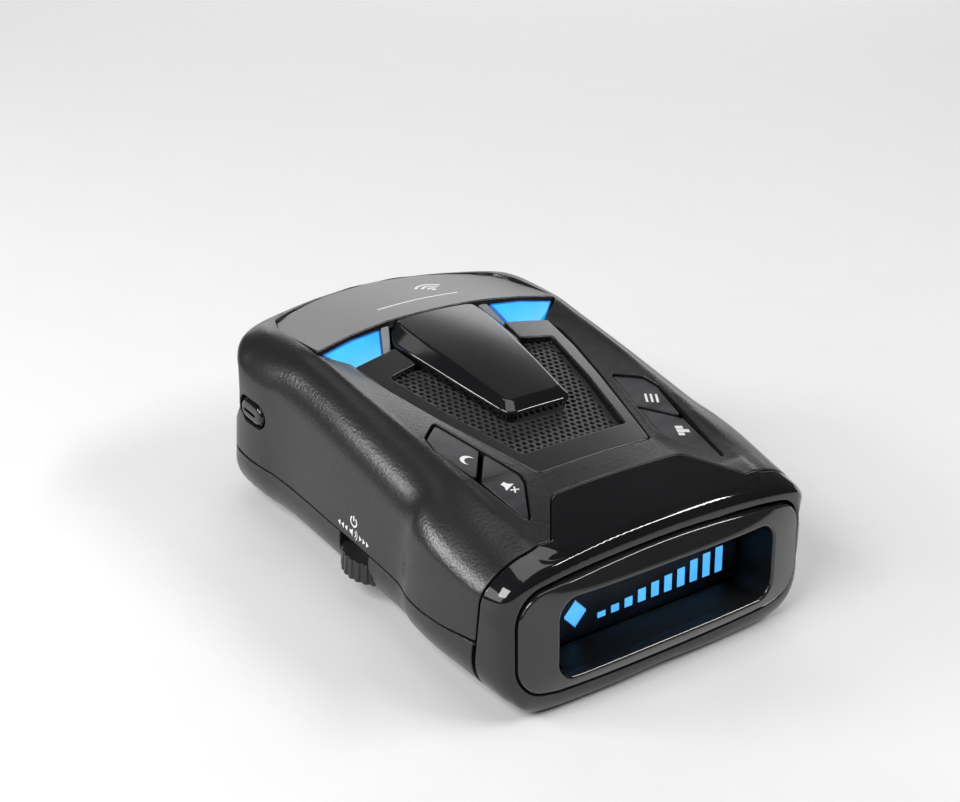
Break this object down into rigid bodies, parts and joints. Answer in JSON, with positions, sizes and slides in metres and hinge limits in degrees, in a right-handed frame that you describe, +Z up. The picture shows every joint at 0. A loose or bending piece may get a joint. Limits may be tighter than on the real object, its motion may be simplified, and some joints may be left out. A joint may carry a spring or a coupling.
{
  "type": "radar detector",
  "caption": "Dashboard radar detector with a recessed front display, sloping top with speaker grille, keys and alert lights, side volume wheel and bracket slot.",
  "frame": {"origin": "centre of the base, on the surface it rests on", "axes": "+X to the right of the display, +Y from the display towards the road end, +Z up"},
  "size_m": [0.0736, 0.0978, 0.0386],
  "materials": {
    "shell_black": "fine-textured satin moulding",
    "satin_black": "satin moulding",
    "gloss_black": "polished moulding",
    "panel_grey": "satin grey panel",
    "grille_grey": "painted perforated steel",
    "key_grey": "brushed dark grey",
    "display_glass": "tinted clear window",
    "display_dark": "dark display panel",
    "board_green": "solder-masked laminate",
    "cable_orange": "flexible printed cable",
    "alert_blue": "translucent blue light guide",
    "led_white": "surface mount lamp",
    "component_black": "moulded component",
    "steel": "plated steel",
    "nylon": "natural nylon",
    "latch_grey": "moulded latch",
    "die_cast": "die-cast zinc",
    "brass_plate": "plated cover",
    "ceramic_tan": "patch aerial",
    "cone_black": "treated paper cone",
    "window_red": "infrared-passing window",
    "label_silver": "blank self-adhesive label"
  },
  "bodies": {
    "housing": {"upper_shell": "shell_black", "lower_shell": "shell_black", "deck_cover": "gloss_black", "centre_plate": "satin_black", "speaker_grille": "grille_grey", "front_bezel": "gloss_black", "front_panel": "panel_grey", "display_window": "display_glass", "display_panel": "display_dark", "display_board": "board_green", "display_cable": "cable_orange", "alert_lens_left": "alert_blue", "alert_lens_right": "alert_blue", "alert_led_left": "led_white", "alert_led_right": "led_white", "dark_switch": "component_black", "quiet_switch": "component_black", "menu_switch": "component_black", "city_switch": "component_black", "wheel_bracket": "satin_black", "power_switch": "component_black", "release_spring": "steel", "bracket_socket": "satin_black", "main_board": "board_green", "horn_aerial": "die_cast", "horn_cover": "brass_plate", "shield_can": "steel", "laser_sensor": "component_black", "gps_aerial": "ceramic_tan", "speaker_basket": "grille_grey", "speaker_cone": "cone_black", "speaker_magnet": "steel", "rear_window": "window_red", "power_jack": "gloss_black", "jack_contact": "steel", "casing_screws": "steel", "board_screws": "steel", "horn_screws": "steel", "board_connector": "nylon", "rating_label": "label_silver"},
    "dark_key": {"dark_key": "key_grey"},
    "quiet_key": {"quiet_key": "key_grey"},
    "menu_key": {"menu_key": "key_grey"},
    "city_key": {"city_key": "key_grey"},
    "wheel_carriage": {"wheel_carriage": "nylon", "wheel_axle": "steel"},
    "volume_wheel": {"volume_wheel": "satin_black"},
    "release": {"release_button": "gloss_black", "bracket_latch": "latch_grey"}
  },
  "joints": [
    {"name": "dark_key_press", "type": "slide", "parent": "housing", "child": "dark_key", "axis": [0, 0, -1], "range_m": [0, 0.0006], "stiffness_N_per_m": 800},
    {"name": "quiet_key_press", "type": "slide", "parent": "housing", "child": "quiet_key", "axis": [0, 0, -1], "range_m": [0, 0.0006], "stiffness_N_per_m": 800},
    {"name": "menu_key_press", "type": "slide", "parent": "housing", "child": "menu_key", "axis": [0, 0, -1], "range_m": [0, 0.0006], "stiffness_N_per_m": 800},
    {"name": "city_key_press", "type": "slide", "parent": "housing", "child": "city_key", "axis": [0, 0, -1], "range_m": [0, 0.0006], "stiffness_N_per_m": 800},
    {"name": "wheel_press", "type": "slide", "parent": "housing", "child": "wheel_carriage", "axis": [1, 0, 0], "range_m": [0, 0.0007], "stiffness_N_per_m": 900},
    {"name": "volume_turn", "type": "hinge", "parent": "wheel_carriage", "child": "volume_wheel", "pos_m": [-0.0293, -0.0026, 0.007], "axis": [0, 0, 1], "continuous": true},
    {"name": "release_press", "type": "slide", "parent": "housing", "child": "release", "axis": [1, 0, 0], "range_m": [0, 0.002], "stiffness_N_per_m": 700, "deforming": ["release_spring"]}
  ]
}
